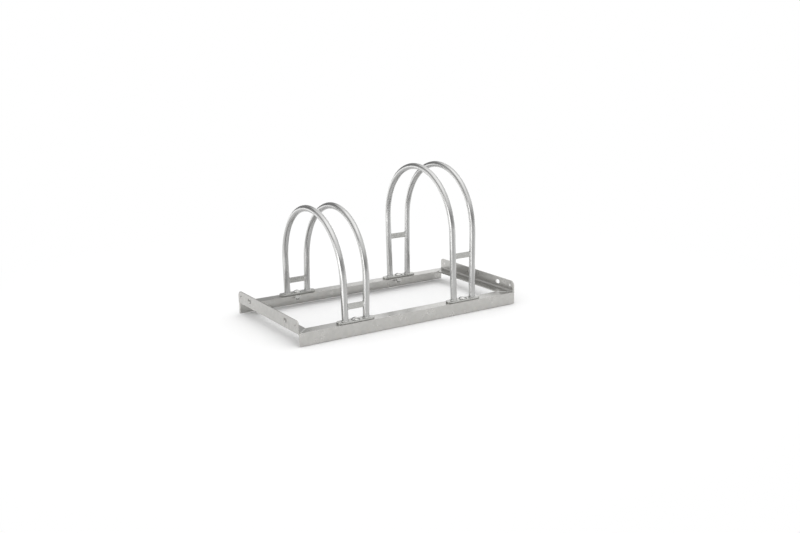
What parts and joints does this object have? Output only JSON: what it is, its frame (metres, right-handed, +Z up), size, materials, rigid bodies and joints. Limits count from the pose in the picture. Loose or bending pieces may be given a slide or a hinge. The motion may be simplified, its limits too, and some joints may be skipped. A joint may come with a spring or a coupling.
{
  "type": "bike parking stand",
  "caption": "Free-standing floor stand with a low and a high pair of steel tube arches that hold bicycle wheels, bolted to a rectangular frame of steel angles.",
  "frame": {"origin": "centre of the stand's footprint, on the ground plane under the two rails", "axes": "+X along the rails, from the low to the high wheel holder; +Y towards the rear rail, along the parked wheels; +Z up"},
  "size_m": [0.7, 0.385, 0.4164],
  "materials": {
    "galvanised_angle": "hot-dip galvanised hot-rolled angle, dull grey with a faint cloudy spangle",
    "galvanised_tube": "hot-dip galvanised round steel tube, brighter, with runs and a cloudy spangle",
    "galvanised_flat_steel": "hot-dip galvanised flat steel, satin grey",
    "zinc_plated_bolt": "zinc-plated fasteners, bright"
  },
  "bodies": {
    "root": {"front_rail": "galvanised_angle", "rear_rail": "galvanised_angle", "left_end_angle": "galvanised_angle", "right_end_angle": "galvanised_angle", "low_arch_left": "galvanised_tube", "low_arch_right": "galvanised_tube", "low_front_wheel_bar": "galvanised_flat_steel", "low_front_foot_plate": "galvanised_flat_steel", "low_front_bolt": "zinc_plated_bolt", "low_front_washer": "zinc_plated_bolt", "low_front_nut": "zinc_plated_bolt", "low_rear_wheel_bar": "galvanised_flat_steel", "low_rear_foot_plate": "galvanised_flat_steel", "low_rear_bolt": "zinc_plated_bolt", "low_rear_washer": "zinc_plated_bolt", "low_rear_nut": "zinc_plated_bolt", "high_arch_left": "galvanised_tube", "high_arch_right": "galvanised_tube", "high_front_wheel_bar": "galvanised_flat_steel", "high_front_foot_plate": "galvanised_flat_steel", "high_front_bolt": "zinc_plated_bolt", "high_front_washer": "zinc_plated_bolt", "high_front_nut": "zinc_plated_bolt", "high_rear_wheel_bar": "galvanised_flat_steel", "high_rear_foot_plate": "galvanised_flat_steel", "high_rear_bolt": "zinc_plated_bolt", "high_rear_washer": "zinc_plated_bolt", "high_rear_nut": "zinc_plated_bolt"}
  },
  "joints": []
}
